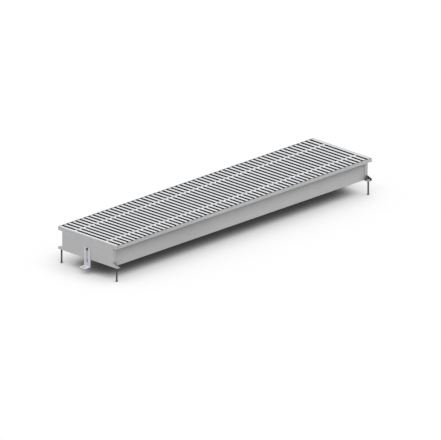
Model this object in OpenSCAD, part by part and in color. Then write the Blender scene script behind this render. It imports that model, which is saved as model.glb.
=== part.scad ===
// Trench convector heater: a shallow floor channel with a finned pipe inside,
// a roll-up grille on top, levelling screws and fixing brackets.
// The origin is on the structural floor below the middle of the channel.
// +X runs along the channel away from the pipe connections, +Z is up.

/* [Casing] */
// Length over the end plates
casing_len = 1000; // [800:10:2000]
// Width over the long walls, below the rim
casing_w = 200; // [190:1:260]
// Height from the underside of the tray to the top of the rim
casing_h = 65.5; // [62:0.5:90]
// Thickness of the tray sheet
tray_t = 1; // [0.8:0.1:1.2]
// Thickness of the end plate sheet
end_t = 1; // [0.8:0.1:1.2]
// Outside radius of the sheet folds
fold_r = 1.5; // [1.4:0.1:2.5]
// How far the rim steps out past the long walls
rim_reach = 15; // [13:0.5:20]
// Width of the end plate flanges folded along the tray
flange_w = 13; // [12:0.5:16]

/* [Ears] */
// How far each ear stands out past the long wall
ear_reach = 15.5; // [14:0.5:18]
// Height of the ear where it leaves the wall
ear_h = 11.5; // [8:0.5:14]
// Height of the ear at its tip
ear_tip_h = 5.5; // [4:0.5:7]

/* [Pipe knock-outs] */
// Diameter of a knock-out disc
knock_d = 32; // [26:1:36]
// Height of the knock-outs and of the pipes above the tray underside
pipe_h = 26; // [24:0.5:28]
// Distance of each pipe from the middle of the channel
pipe_y = 34; // [30:1:40]
// Distance of the side knock-outs from the near end
side_knock_in = 65; // [50:1:90]
// Width of the cut round a knock-out
knock_cut = 0.2; // [0.1:0.1:0.6]
// Width of the webs that hold a knock-out
knock_web = 3; // [2:0.5:5]

/* [Levelling screws] */
// Height of the tray underside above the floor
stand_h = 42; // [35:0.5:46]
// Diameter of a levelling screw
level_d = 5; // [4:1:6]
// Distance of a levelling screw out from the long wall
level_out = 7.8; // [7:0.1:9]
// Distance of a levelling screw in from the end of the casing
level_in = 6.5; // [6:0.1:8]
// Width across the flats of a levelling nut
level_nut_af = 8; // [7.5:0.5:10]
// Height of a levelling nut
level_nut_h = 4; // [3:0.5:5]
// Length of screw that stands out of the nut
level_top = 0.5; // [0.3:0.1:1]
// Wall of the cap on the tip of a screw
foot_wall = 0.55; // [0.4:0.05:1.5]
// Height of that cap
foot_h = 3; // [2.5:0.5:5]
// Thickness of the cap under the screw
foot_floor = 1; // [0.8:0.1:1.5]

/* [Fixing brackets] */
// Width of a fixing bracket
bracket_w = 24; // [20:0.5:30]
// Thickness of a fixing bracket
bracket_t = 1.5; // [1.2:0.1:2.5]
// Outside radius of the bracket fold
bracket_fold_r = 3; // [2.8:0.1:4]
// Height of the bracket top above the tray underside
bracket_up = 34.5; // [34:0.5:40]
// Depth of the bracket foot below the tray underside
bracket_down = 23; // [20:0.5:30]
// How far the bracket foot stands out from the end plate
bracket_reach = 20; // [18:0.5:26]
// Radius of the bracket corners
bracket_corner_r = 3; // [1:0.5:5]
// Height of the clamp screw above the tray underside
clamp_h = 28.5; // [27:0.5:30]
// Diameter of the clamp screw
clamp_d = 4; // [4:1:5]
// Travel of the bracket along its slot
slot_travel = 37; // [25:0.5:38]
// Diameter of the clamp screw head
clamp_head_d = 7.6; // [7.6:0.1:10]
// Height of the clamp screw head
clamp_head_h = 2.2; // [2:0.1:5]
// Width of the socket in the clamp screw head
clamp_socket_af = 2.5; // [2:0.5:3]
// Depth of that socket
clamp_socket_deep = 1.3; // [1:0.1:1.6]
// Width across the flats of the nut inside the end plate
clamp_nut_af = 7; // [7:0.5:10]
// Height of that nut
clamp_nut_h = 3.2; // [2.8:0.1:5]
// Length of screw that stands out of the nut
clamp_tail = 2; // [1:0.5:4]
// Width of the anchor slot in the foot
anchor_w = 6.5; // [5.5:0.5:8]
// Length of the anchor slot in the foot
anchor_len = 11; // [9:0.5:12]

/* [Grille] */
// Least distance from one grille bar to the next
bar_pitch = 17; // [16:0.5:20]
// Width of a grille bar
bar_w = 8; // [6:0.5:10]
// Height of a grille bar
bar_h = 7.5; // [7.5:0.5:10]
// Thickness of the top and bottom flanges of a bar
bar_flange_t = 1.3; // [1:0.1:1.6]
// Thickness of the web of a bar
bar_web_t = 2.2; // [1.6:0.1:3]
// Size of the bevel along the bar edges
bar_bevel = 0.4; // [0.2:0.1:0.6]
// Gap between the end of a bar and the rim
bar_end_gap = 2.3; // [0.5:0.1:3]
// Gap between the outer bars and the end plates
outer_gap = 1; // [0.5:0.1:2]
// Distance of each spacer row from the middle of the channel
spacer_y = 61; // [50:1:70]
// Diameter of a spacer sleeve
spacer_d = 5.6; // [5.2:0.1:7.2]
// Diameter of the cord that joins the bars
core_d = 3; // [2:0.5:3.5]
// Thickness of the soft strip under the grille
seat_t = 2; // [1:0.5:3]
// Width of the soft strip under the grille
seat_w = 11; // [8:0.5:12]

/* [Heat exchanger] */
// Outside diameter of the pipe
pipe_d = 15; // [12:1:18]
// Wall thickness of the pipe
pipe_wall = 1; // [0.8:0.1:1.2]
// Width of a fin
fin_w = 120; // [110:1:130]
// Height of a fin
fin_h = 40; // [36:0.5:41]
// Thickness of a fin
fin_t = 0.5; // [0.3:0.1:0.6]
// Distance from one fin to the next
fin_pitch = 6; // [5:0.5:10]
// Length of the connection space at the near end
connect_len = 170; // [150:5:220]
// Length of the space for the pipe bend at the far end
bend_len = 75; // [70:1:100]
// Length of bare pipe between the fins and each pipe end
bare_len = 10; // [8:1:14]

/* [Exchanger supports] */
// Thickness of a support plate
support_t = 1.5; // [1:0.1:2]
// Width of a support plate
support_w = 110; // [100:1:120]
// Height of the support plate over the pipes
support_over = 4; // [3:0.5:6]
// Depth of the support foot along the channel
support_foot = 12; // [11:0.5:14]
// Distance of each foot rivet from the middle of the channel
support_rivet_y = 46; // [44:1:49]

/* [Rivets] */
// Diameter of a rivet shank
rivet_d = 3.2; // [3:0.1:4]
// Diameter of a rivet head
rivet_head_d = 6.5; // [5.5:0.1:7]
// Height of a rivet head
rivet_head_h = 1; // [0.8:0.1:1.2]
// Diameter of the closed end of a rivet
rivet_tail_d = 4.6; // [4.2:0.1:5]
// Height of the closed end of a rivet
rivet_tail_h = 1.2; // [1:0.1:1.5]
// Distance of the outer end plate rivets from the middle
end_rivet_y = 70; // [40:1:80]

/* [Pipe unions and air vent] */
// Width across the flats of a union
union_af = 27; // [25:0.5:28]
// Length of a union
union_len = 30; // [28:0.5:36]
// Depth of the pipe socket in a union
union_socket = 12; // [8:0.5:13]
// Diameter of the female thread in a union
union_thread_d = 18.6; // [16:0.1:19]
// Depth of the female thread in a union
union_thread_deep = 14; // [11:0.5:15]
// Diameter of the round collar on a union
union_collar_d = 29; // [28.5:0.5:31]
// Length of that collar
union_collar_len = 6; // [4:0.5:8]
// Diameter of the air vent boss
vent_d = 10; // [9:0.5:12]
// Height of the air vent boss
vent_h = 8; // [6.5:0.5:9]
// Diameter of the air vent screw
vent_screw_d = 5; // [4:1:6]
// Length of the air vent screw in the boss
vent_screw_len = 5.5; // [4:0.5:6]
// Diameter of the head of the air vent screw
vent_head_d = 7; // [6.5:0.5:9]
// Height of the head of the air vent screw
vent_head_h = 2; // [1.5:0.1:3]
// Distance of the air vent from the mouth of the union
vent_in = 20; // [18:0.5:22]

/* [Hidden] */
$fn = 48;

// clearances and small values that belong to the fits
cut = 1;               // overrun of every cut
thread_gap = 0.05;     // between a screw and its threaded hole
push_gap = 0.05;       // between pieces pushed together, such as pipe and fin
hole_gap = 0.4;        // between a screw and a plain hole
rivet_gap = 0.05;      // between a rivet and its hole
slide_gap = 0.1;       // between a bracket and what it slides on
slot_gap = 0.5;        // between a clamp screw and the sides of its slot
spacer_gap = 0.05;     // between a spacer sleeve and a bar
cord_gap = 0.1;        // between the cord and the holes it runs in
cord_tail = 1;         // cord that stands out of the outer webs
seat_inset = 1.5;      // from the soft strip to the rim and the end plates
relief = 2;            // notch at each end of an end plate side flange
slit_w = 0.8;          // width of a screwdriver slit
slit_deep = 1;         // depth of a screwdriver slit
rivet_from_flange_share = 0.55; // place of a rivet along the flange it holds

// heights
base_z = stand_h;
top_z = base_z + casing_h;
rim_h = tray_t + seat_t + bar_h;
ledge_z = top_z - rim_h;
bar_z = top_z - bar_h;
pipe_z = base_z + pipe_h;

// half sizes of the casing
half_len = casing_len / 2;
wall_half = casing_w / 2;
rim_half = wall_half + rim_reach;
tray_half = wall_half - end_t;
tray_half_len = half_len - fold_r;
tray_fold_in = fold_r - tray_t;
ear_half = wall_half + ear_reach;

// levelling screws
level_x = half_len - level_in;
level_y = wall_half + level_out;
foot_d = level_d + 2 * (thread_gap + foot_wall);

// brackets
bracket_face = half_len + slide_gap;
bracket_outer = bracket_face + bracket_t;
foot_z = base_z - bracket_down;
clamp_z = base_z + clamp_h;
slot_w = clamp_d + 2 * slot_gap;
anchor_x = half_len + (bracket_fold_r + bracket_reach) / 2;

// grille
bar_span = casing_len - 2 * end_t - 2 * outer_gap - bar_w;
bar_count = 1 + floor(bar_span / bar_pitch);
bar_step = bar_span / (bar_count - 1);
bar_len = 2 * (rim_half - tray_t - bar_end_gap);
core_z = bar_z + bar_h / 2;
bars_in_segment = 2;
segment_count = 8;
rolled_bars = bars_in_segment * segment_count;
function bar_x(i) = (i - (bar_count - 1) / 2) * bar_step;

// heat exchanger
fin_start = connect_len - half_len;
fin_end = half_len - bend_len;
fin_count = 1 + floor((fin_end - fin_start - fin_t) / fin_pitch);
pipe_r = pipe_d / 2;
pipe_start = fin_start - bare_len - union_socket;
pipe_end = fin_end + bare_len;
support_gap = bare_len / 2;
union_mouth = pipe_start + union_socket - union_len;
union_top = pipe_z + union_af / 2;
vent_x = union_mouth + vent_in;
mid_support_x = fin_start + (round(fin_count / 2) - 1 / 2) * fin_pitch + fin_t / 2;
support_xs = [fin_start - support_gap, mid_support_x, fin_end + support_gap];

// colours
shell_grey = [0.69, 0.69, 0.7];
bracket_grey = [0.74, 0.74, 0.77];
bar_silver = [0.9, 0.91, 0.93];
sleeve_white = [0.96, 0.96, 0.98];
screw_grey = [0.36, 0.36, 0.37];
rubber_black = [0.09, 0.09, 0.1];
copper = [0.72, 0.45, 0.3];
brass = [0.78, 0.66, 0.36];
fin_silver = [0.8, 0.81, 0.83];

// an outline in the YZ plane, drawn along +X
module along_x(length) {
    rotate([90, 0, 90]) linear_extrude(length) children();
}

// an outline in the XZ plane, drawn along Y to both sides
module along_y(length) {
    rotate([90, 0, 0]) linear_extrude(length, center = true) children();
}

// a round bar along +X
module bar_along_x(radius, length) {
    rotate([0, 90, 0]) cylinder(r = radius, h = length);
}

// a hexagonal bar along +X with a flat on top
module hex_along_x(flats, length) {
    rotate([0, 90, 0]) rotate([0, 0, 30]) cylinder(r = flats / 2 / cos(30), h = length, $fn = 6);
}

// a quarter of a folded sheet, in the quadrant given by two signs
module fold2d(radius, thick, side_x, side_y) {
    intersection() {
        difference() {
            circle(radius);
            circle(radius - thick);
        }
        translate([side_x > 0 ? 0 : -radius, side_y > 0 ? 0 : -radius]) square(radius);
    }
}

// a rectangle with its two upper corners rounded, standing on y = 0
module round_top2d(width, height, radius) {
    translate([-width / 2, 0]) square([width, height - radius]);
    translate([radius - width / 2, 0]) square([width - 2 * radius, height]);
    for (side = [-1, 1]) translate([side * (width / 2 - radius), height - radius]) circle(radius);
}

// a slot from its first to its last hole centre, running up from y = 0
module slot2d(width, centres) {
    circle(width / 2);
    translate([-width / 2, 0]) square([width, centres]);
    translate([0, centres]) circle(width / 2);
}

// the cut round a knock-out in a sheet that lies across Z
module knock_cutter(thick) {
    difference() {
        translate([0, 0, -cut]) cylinder(d = knock_d + knock_cut, h = thick + 2 * cut);
        translate([0, 0, -2 * cut]) cylinder(d = knock_d - knock_cut, h = thick + 4 * cut);
        for (turn = [45, 135]) rotate([0, 0, turn])
            translate([-knock_d, -knock_web / 2, -2 * cut])
                cube([2 * knock_d, knock_web, thick + 4 * cut]);
    }
}

// a blind rivet through a stack of sheets, head down, standing on the underside of the stack
module rivet(stack) {
    translate([0, 0, -rivet_head_h]) cylinder(d = rivet_head_d, h = rivet_head_h);
    cylinder(d = rivet_d, h = stack);
    translate([0, 0, stack]) cylinder(d = rivet_tail_d, h = rivet_tail_h);
}

// the places of the rivets that hold an end plate, at both ends
module at_end_rivets() {
    for (end = [-1, 1]) for (y = [-end_rivet_y, 0, end_rivet_y])
        translate([end * (half_len - flange_w * rivet_from_flange_share), y, base_z - end_t]) children();
}

// the places of the rivets that hold the exchanger supports
module at_support_rivets() {
    for (x = support_xs) for (side = [-1, 1])
        translate([x + support_t + (support_foot - support_t) * rivet_from_flange_share,
            side * support_rivet_y, base_z]) children();
}

// the places of the levelling screws
module at_level(index) {
    side_x = index <= 2 ? -1 : 1;
    side_y = index % 2 == 1 ? -1 : 1;
    translate([side_x * level_x, side_y * level_y, 0]) children();
}

// one side of the tray: fold, wall, ledge and rim
module tray_side2d() {
    translate([tray_half - fold_r, base_z + fold_r]) fold2d(fold_r, tray_t, 1, -1);
    translate([tray_half - tray_t, base_z + fold_r])
        square([tray_t, ledge_z - tray_fold_in - base_z - fold_r]);
    translate([tray_half + tray_fold_in, ledge_z - tray_fold_in]) fold2d(fold_r, tray_t, -1, 1);
    translate([tray_half + tray_fold_in, ledge_z])
        square([rim_half - fold_r - tray_half - tray_fold_in, tray_t]);
    translate([rim_half - fold_r, ledge_z + fold_r]) fold2d(fold_r, tray_t, 1, -1);
    translate([rim_half - tray_t, ledge_z + fold_r]) square([tray_t, top_z - ledge_z - fold_r]);
}

// the folded channel: floor, two long walls and two stepped rims
module casing_tray() {
    color(shell_grey) difference() {
        translate([-tray_half_len, 0, 0]) along_x(2 * tray_half_len) {
            translate([fold_r - tray_half, base_z]) square([2 * (tray_half - fold_r), tray_t]);
            for (side = [0, 1]) mirror([side, 0]) tray_side2d();
        }
        for (side = [-1, 1])
            translate([side_knock_in - half_len, side * (tray_half - tray_t / 2), pipe_z])
                rotate([90, 0, 0]) translate([0, 0, -tray_t / 2]) knock_cutter(tray_t);
        at_end_rivets() cylinder(d = rivet_d + 2 * rivet_gap, h = end_t + tray_t + cut);
        at_support_rivets() translate([0, 0, -cut])
            cylinder(d = rivet_d + 2 * rivet_gap, h = tray_t + 2 * cut);
    }
}

// the outline of an end plate, from ear tip to rim
function end_half_points() = [
    [ear_half, base_z - end_t + fold_r],
    [ear_half, base_z + ear_tip_h],
    [wall_half, base_z + ear_h],
    [wall_half - fold_r, base_z + ear_h],
    [wall_half - fold_r, ledge_z],
    [rim_half, ledge_z],
    [rim_half, top_z]
];

// the near end plate: plate, bottom flange with the ear floors, two side flanges
module end_plate() {
    points = end_half_points();
    count = len(points);
    difference() {
        union() {
            translate([-half_len, 0, 0]) along_x(end_t)
                polygon(concat(points, [for (i = [count - 1:-1:0]) [-points[i][0], points[i][1]]]));
            along_y(2 * ear_half) {
                translate([fold_r - half_len, base_z - end_t + fold_r]) fold2d(fold_r, end_t, -1, -1);
                translate([fold_r - half_len, base_z - end_t]) square([flange_w - fold_r, end_t]);
            }
            for (side = [0, 1]) mirror([0, side, 0])
                translate([0, 0, base_z + ear_h + relief])
                    linear_extrude(ledge_z - base_z - ear_h - 2 * relief) {
                        translate([fold_r - half_len, wall_half - fold_r]) fold2d(fold_r, end_t, -1, 1);
                        translate([fold_r - half_len, wall_half - end_t]) square([flange_w - fold_r, end_t]);
                    }
        }
        for (side = [-1, 1]) translate([-half_len, side * pipe_y, pipe_z])
            rotate([0, 90, 0]) knock_cutter(end_t);
        translate([-half_len - cut, 0, clamp_z]) bar_along_x(clamp_d / 2 + hole_gap, end_t + 2 * cut);
        for (index = [1, 2]) at_level(index) translate([0, 0, base_z - end_t - cut])
            cylinder(r = level_d / 2 + hole_gap, h = end_t + 2 * cut);
        at_end_rivets() translate([0, 0, -cut]) cylinder(d = rivet_d + 2 * rivet_gap, h = end_t + 2 * cut);
    }
}

module near_end_plate() {
    color(shell_grey) end_plate();
}

module far_end_plate() {
    color(shell_grey) mirror([1, 0, 0]) end_plate();
}

module end_plate_rivets() {
    color(screw_grey) at_end_rivets() rivet(end_t + tray_t);
}

// the soft strips on the two ledges, under the ends of the bars
module grille_seat_strips() {
    color(rubber_black) for (side = [-1, 1])
        translate([seat_inset - tray_half_len,
            side * (rim_half - tray_t - seat_inset - seat_w / 2) - seat_w / 2, ledge_z + tray_t])
            cube([2 * (tray_half_len - seat_inset), seat_w, seat_t]);
}

// the nuts welded on the ear floors
module levelling_nuts() {
    color(screw_grey) for (index = [1:4]) at_level(index) translate([0, 0, base_z]) difference() {
        cylinder(r = level_nut_af / 2 / cos(30), h = level_nut_h, $fn = 6);
        translate([0, 0, -cut]) cylinder(r = level_d / 2 + thread_gap, h = level_nut_h + 2 * cut);
    }
}

// a levelling screw: slit at the top, tip held in its foot cap
module levelling_screw(index) {
    low = foot_floor + push_gap;
    high = base_z + level_nut_h + level_top;
    color(screw_grey) at_level(index) difference() {
        translate([0, 0, low]) cylinder(r = level_d / 2, h = high - low);
        translate([-level_d, -slit_w / 2, high - slit_deep]) cube([2 * level_d, slit_w, slit_deep + cut]);
    }
}

// the cap that stays on the floor while its screw turns
module screw_foot(index) {
    color(screw_grey) at_level(index) difference() {
        cylinder(d = foot_d, h = foot_h);
        translate([0, 0, foot_floor]) cylinder(r = level_d / 2 + thread_gap, h = foot_h);
    }
}

// the near bracket: slotted leg, fold and anchored foot
module fixing_bracket() {
    difference() {
        union() {
            translate([-bracket_outer, 0, foot_z + bracket_fold_r]) along_x(bracket_t)
                round_top2d(bracket_w, bracket_up + bracket_down - bracket_fold_r, bracket_corner_r);
            along_y(bracket_w) translate([-bracket_face - bracket_fold_r, foot_z + bracket_fold_r])
                fold2d(bracket_fold_r, bracket_t, 1, -1);
            translate([-bracket_face - bracket_fold_r, 0, foot_z]) linear_extrude(bracket_t)
                rotate([0, 0, 90])
                    round_top2d(bracket_w, bracket_reach - bracket_fold_r, bracket_corner_r);
        }
        translate([-bracket_outer - cut, 0, clamp_z - slot_travel])
            along_x(bracket_t + 2 * cut) slot2d(slot_w, slot_travel);
        translate([-anchor_x + (anchor_len - anchor_w) / 2, 0, foot_z - cut])
            linear_extrude(bracket_t + 2 * cut) rotate([0, 0, 90]) slot2d(anchor_w, anchor_len - anchor_w);
    }
}

module near_fixing_bracket() {
    color(bracket_grey) fixing_bracket();
}

module far_fixing_bracket() {
    color(bracket_grey) mirror([1, 0, 0]) fixing_bracket();
}

// the screws that clamp the brackets through their slots
module clamp_screws() {
    head_x = -bracket_outer - slide_gap;
    tip_x = end_t + clamp_nut_h + clamp_tail - half_len;
    color(screw_grey) for (end = [0, 1]) mirror([end, 0, 0]) translate([0, 0, clamp_z]) difference() {
        union() {
            translate([head_x - clamp_head_h, 0, 0]) bar_along_x(clamp_head_d / 2, clamp_head_h);
            translate([head_x, 0, 0]) bar_along_x(clamp_d / 2, tip_x - head_x);
        }
        translate([head_x - clamp_head_h - cut, 0, 0])
            hex_along_x(clamp_socket_af, clamp_socket_deep + cut);
    }
}

// the nuts welded inside the end plates
module clamp_nuts() {
    color(screw_grey) for (end = [0, 1]) mirror([end, 0, 0])
        translate([end_t - half_len, 0, clamp_z]) difference() {
            hex_along_x(clamp_nut_af, clamp_nut_h);
            translate([-cut, 0, 0]) bar_along_x(clamp_d / 2 + thread_gap, clamp_nut_h + 2 * cut);
        }
}

// the fins, pushed on both pipes
module exchanger_fins() {
    color(fin_silver) for (i = [0:fin_count - 1])
        translate([fin_start + i * fin_pitch, 0, pipe_z]) difference() {
            translate([0, -fin_w / 2, -fin_h / 2]) cube([fin_t, fin_w, fin_h]);
            for (side = [-1, 1]) translate([-cut, side * pipe_y, 0])
                bar_along_x(pipe_r + push_gap, fin_t + 2 * cut);
        }
}

// the two straight pipes
module exchanger_pipes() {
    color(copper) for (side = [-1, 1]) translate([pipe_start, side * pipe_y, pipe_z]) difference() {
        bar_along_x(pipe_r, pipe_end - pipe_start);
        translate([-cut, 0, 0]) bar_along_x(pipe_r - pipe_wall, pipe_end - pipe_start + 2 * cut);
    }
}

// the half-round bend that joins the pipes at the far end
module exchanger_bend() {
    color(copper) translate([pipe_end, 0, pipe_z]) rotate([0, 0, -90])
        rotate_extrude(angle = 180) translate([pipe_y, 0]) difference() {
            circle(pipe_r);
            circle(pipe_r - pipe_wall);
        }
}

// the plates that carry the pipes above the tray floor
module exchanger_supports() {
    floor_z = base_z + tray_t;
    color(shell_grey) for (x = support_xs) difference() {
        union() {
            translate([x, -support_w / 2, floor_z])
                cube([support_t, support_w, pipe_z + pipe_r + support_over - floor_z]);
            translate([x, -support_w / 2, floor_z]) cube([support_foot, support_w, support_t]);
        }
        for (side = [-1, 1]) translate([x - cut, side * pipe_y, pipe_z])
            bar_along_x(pipe_r + push_gap, support_t + 2 * cut);
        at_support_rivets() cylinder(d = rivet_d + 2 * rivet_gap, h = tray_t + support_t + cut);
    }
}

module support_rivets() {
    color(screw_grey) at_support_rivets() rivet(tray_t + support_t);
}

// the unions on the pipe ends, with a female thread towards the near end
module pipe_unions() {
    color(brass) for (side = [-1, 1]) translate([union_mouth, side * pipe_y, pipe_z]) difference() {
        union() {
            bar_along_x(union_collar_d / 2, union_collar_len);
            hex_along_x(union_af, union_len);
        }
        translate([-cut, 0, 0]) bar_along_x(union_thread_d / 2, union_thread_deep + cut);
        bar_along_x(pipe_r - pipe_wall, union_len);
        translate([union_len - union_socket, 0, 0]) bar_along_x(pipe_r + push_gap, union_socket + cut);
    }
}

// the boss of the air vent, on the union nearer to the front
module air_vent_boss() {
    color(brass) translate([vent_x, -pipe_y, union_top]) difference() {
        cylinder(d = vent_d, h = vent_h);
        translate([0, 0, vent_h - vent_screw_len - thread_gap])
            cylinder(r = vent_screw_d / 2 + thread_gap, h = vent_screw_len + thread_gap + cut);
    }
}

module air_vent_screw() {
    head_z = union_top + vent_h + spacer_gap;
    color(brass) translate([vent_x, -pipe_y, head_z]) difference() {
        union() {
            cylinder(d = vent_head_d, h = vent_head_h);
            translate([0, 0, -vent_screw_len]) cylinder(d = vent_screw_d, h = vent_screw_len);
        }
        translate([-vent_head_d, -slit_w / 2, vent_head_h - slit_deep])
            cube([2 * vent_head_d, slit_w, slit_deep + cut]);
    }
}

// half of the I-section of a bar, from the bottom up
function bar_half_points() = [
    [bar_w / 2 - bar_bevel, 0],
    [bar_w / 2, bar_bevel],
    [bar_w / 2, bar_flange_t],
    [bar_web_t / 2, bar_flange_t],
    [bar_web_t / 2, bar_h - bar_flange_t],
    [bar_w / 2, bar_h - bar_flange_t],
    [bar_w / 2, bar_h - bar_bevel],
    [bar_w / 2 - bar_bevel, bar_h]
];

// the bars from one index to another
module bars(first, last) {
    points = bar_half_points();
    count = len(points);
    color(bar_silver) for (i = [first:last]) translate([bar_x(i), 0, bar_z]) difference() {
        along_y(bar_len)
            polygon(concat(points, [for (n = [count - 1:-1:0]) [-points[n][0], points[n][1]]]));
        for (side = [-1, 1]) translate([-bar_web_t / 2 - cut, side * spacer_y, bar_h / 2])
            bar_along_x(core_d / 2 + cord_gap, bar_web_t + 2 * cut);
    }
}

// the spacer sleeves after each bar from one index to another
module spacers(first, last) {
    length = bar_step - bar_w - 2 * spacer_gap;
    color(sleeve_white) for (i = [first:last]) for (side = [-1, 1])
        translate([bar_x(i) + bar_w / 2 + spacer_gap, side * spacer_y, core_z]) difference() {
            bar_along_x(spacer_d / 2, length);
            translate([-cut, 0, 0]) bar_along_x(core_d / 2 + cord_gap, length + 2 * cut);
        }
}

// the two cords through the bars, between two places along X
module cords(from_x, to_x) {
    color(screw_grey) for (side = [-1, 1]) translate([from_x, side * spacer_y, core_z])
        bar_along_x(core_d / 2, to_x - from_x);
}

// the part of the grille that stays flat
module grille_bars() {
    bars(rolled_bars, bar_count - 1);
}

module grille_spacers() {
    spacers(rolled_bars, bar_count - 2);
}

module grille_cords() {
    cords(bar_x(rolled_bars) - bar_web_t / 2 - cord_tail,
        bar_x(bar_count - 1) + bar_web_t / 2 + cord_tail);
}

// the index of the first bar of a rolled segment, counted from the flat part outwards
function segment_first(index) = rolled_bars - index * bars_in_segment;

module roll_bars(index) {
    bars(segment_first(index), segment_first(index) + bars_in_segment - 1);
}

module roll_spacers(index) {
    spacers(segment_first(index), segment_first(index) + bars_in_segment - 1);
}

// the cords of a segment end at the face of the next bar, where the segment hinges
module roll_cords(index) {
    cords(bar_x(segment_first(index)) - bar_web_t / 2 - cord_tail,
        bar_x(segment_first(index) + bars_in_segment) - bar_w / 2 - spacer_gap);
}

casing_tray();
near_end_plate();
far_end_plate();
end_plate_rivets();
grille_seat_strips();
levelling_nuts();
clamp_screws();
clamp_nuts();
exchanger_fins();
exchanger_pipes();
exchanger_bend();
exchanger_supports();
support_rivets();
pipe_unions();
air_vent_boss();
air_vent_screw();
near_fixing_bracket();
far_fixing_bracket();
levelling_screw(1);  // levelling_screw_1
levelling_screw(2);  // levelling_screw_2
levelling_screw(3);  // levelling_screw_3
levelling_screw(4);  // levelling_screw_4
screw_foot(1);  // screw_foot_1
screw_foot(2);  // screw_foot_2
screw_foot(3);  // screw_foot_3
screw_foot(4);  // screw_foot_4
grille_bars();
grille_spacers();
grille_cords();
roll_bars(1);  // roll_bars_1
roll_bars(2);  // roll_bars_2
roll_bars(3);  // roll_bars_3
roll_bars(4);  // roll_bars_4
roll_bars(5);  // roll_bars_5
roll_bars(6);  // roll_bars_6
roll_bars(7);  // roll_bars_7
roll_bars(8);  // roll_bars_8
roll_spacers(1);  // roll_spacers_1
roll_spacers(2);  // roll_spacers_2
roll_spacers(3);  // roll_spacers_3
roll_spacers(4);  // roll_spacers_4
roll_spacers(5);  // roll_spacers_5
roll_spacers(6);  // roll_spacers_6
roll_spacers(7);  // roll_spacers_7
roll_spacers(8);  // roll_spacers_8
roll_cords(1);  // roll_cords_1
roll_cords(2);  // roll_cords_2
roll_cords(3);  // roll_cords_3
roll_cords(4);  // roll_cords_4
roll_cords(5);  // roll_cords_5
roll_cords(6);  // roll_cords_6
roll_cords(7);  // roll_cords_7
roll_cords(8);  // roll_cords_8
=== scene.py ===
import math

import bpy
import numpy as np
from mathutils import Matrix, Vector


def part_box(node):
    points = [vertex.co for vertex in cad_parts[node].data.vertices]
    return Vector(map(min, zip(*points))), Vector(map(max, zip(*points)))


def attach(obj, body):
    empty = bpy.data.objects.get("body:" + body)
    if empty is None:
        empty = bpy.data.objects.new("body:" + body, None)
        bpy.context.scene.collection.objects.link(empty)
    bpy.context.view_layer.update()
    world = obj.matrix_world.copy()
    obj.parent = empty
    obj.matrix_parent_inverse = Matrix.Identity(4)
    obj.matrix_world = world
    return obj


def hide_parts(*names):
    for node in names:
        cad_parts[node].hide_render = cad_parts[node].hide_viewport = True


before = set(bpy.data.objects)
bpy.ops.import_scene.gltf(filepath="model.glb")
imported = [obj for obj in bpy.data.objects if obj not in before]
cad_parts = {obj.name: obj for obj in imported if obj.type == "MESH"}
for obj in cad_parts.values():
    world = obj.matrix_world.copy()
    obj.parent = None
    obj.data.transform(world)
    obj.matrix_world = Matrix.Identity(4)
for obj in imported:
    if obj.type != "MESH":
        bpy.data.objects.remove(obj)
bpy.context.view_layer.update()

# Trench convector heater: the looks, in metres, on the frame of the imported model
mm = 0.001

# the photograph's parallel view; right and up move the picture's middle off the origin
viewpoint = {
    "azimuth": -45.1, "elevation": 20.17, "width": 1.22174,
    "right": 15.46 * mm, "up": 24.08 * mm, "away": 2.0, "nearest": 0.01, "farthest": 20.0,
}


def makeCamera(view):
    # back, right and up are the camera's axes for its azimuth and elevation
    azimuth, elevation = math.radians(view["azimuth"]), math.radians(view["elevation"])
    back = np.array([
        math.sin(azimuth) * math.cos(elevation), -math.cos(azimuth) * math.cos(elevation),
        math.sin(elevation)])
    right = np.array([math.cos(azimuth), math.sin(azimuth), 0.0])
    up = np.cross(back, right)
    lens = bpy.data.cameras.new("photo_camera")
    lens.type = "ORTHO"
    lens.ortho_scale = view["width"]
    lens.clip_start, lens.clip_end = view["nearest"], view["farthest"]
    camera = bpy.data.objects.new("photo_camera", lens)
    bpy.context.scene.collection.objects.link(camera)
    axes = np.eye(4)
    axes[:3, 0], axes[:3, 1], axes[:3, 2] = right, up, back
    axes[:3, 3] = right * view["right"] + up * view["up"] + back * view["away"]
    camera.matrix_world = Matrix(axes.tolist())
    bpy.context.scene.camera = camera


makeCamera(viewpoint)
bpy.context.scene.view_settings.view_transform = "Standard"
print("camera set")


# Nodes. A socket's value is a number, a colour or another node's output.
def put(tree, kind, sockets=None, **settings):
    node = tree.nodes.new("ShaderNode" + kind)
    for field, value in settings.items():
        setattr(node, field, value)
    for socket, value in (sockets or {}).items():
        if isinstance(value, bpy.types.NodeSocket):
            tree.links.new(value, node.inputs[socket])
        else:
            node.inputs[socket].default_value = value
    return node


def placeGroup(tree, group, sockets):
    return put(tree, "Group", sockets, node_tree=group).outputs


def maths(tree, operation, first, second=0.0):
    return put(tree, "Math", {0: first, 1: second}, operation=operation).outputs[0]


def vectorMaths(tree, operation, sockets):
    # the second output, Value, is the one that a dot product uses
    return put(tree, "VectorMath", sockets, operation=operation).outputs


def remap(tree, value, fromLow, fromHigh, toLow=0.0, toHigh=1.0):
    return put(tree, "MapRange", {
        "Value": value, "From Min": fromLow, "From Max": fromHigh,
        "To Min": toLow, "To Max": toHigh}).outputs[0]


def splitAxes(tree, vector):
    return put(tree, "SeparateXYZ", {0: vector}).outputs


def mixColours(tree, amount, first, second, blend="MIX"):
    # the colour sockets of a Mix node are numbers 6 and 7, and its colour output is number 2
    return put(tree, "Mix", {0: amount, 6: first, 7: second},
               data_type="RGBA", blend_type=blend).outputs[2]


def shadeColour(tree, tone, factor):
    grey = put(tree, "CombineColor", {0: factor, 1: factor, 2: factor}).outputs[0]
    return mixColours(tree, 1.0, tone, grey, "MULTIPLY")


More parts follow.
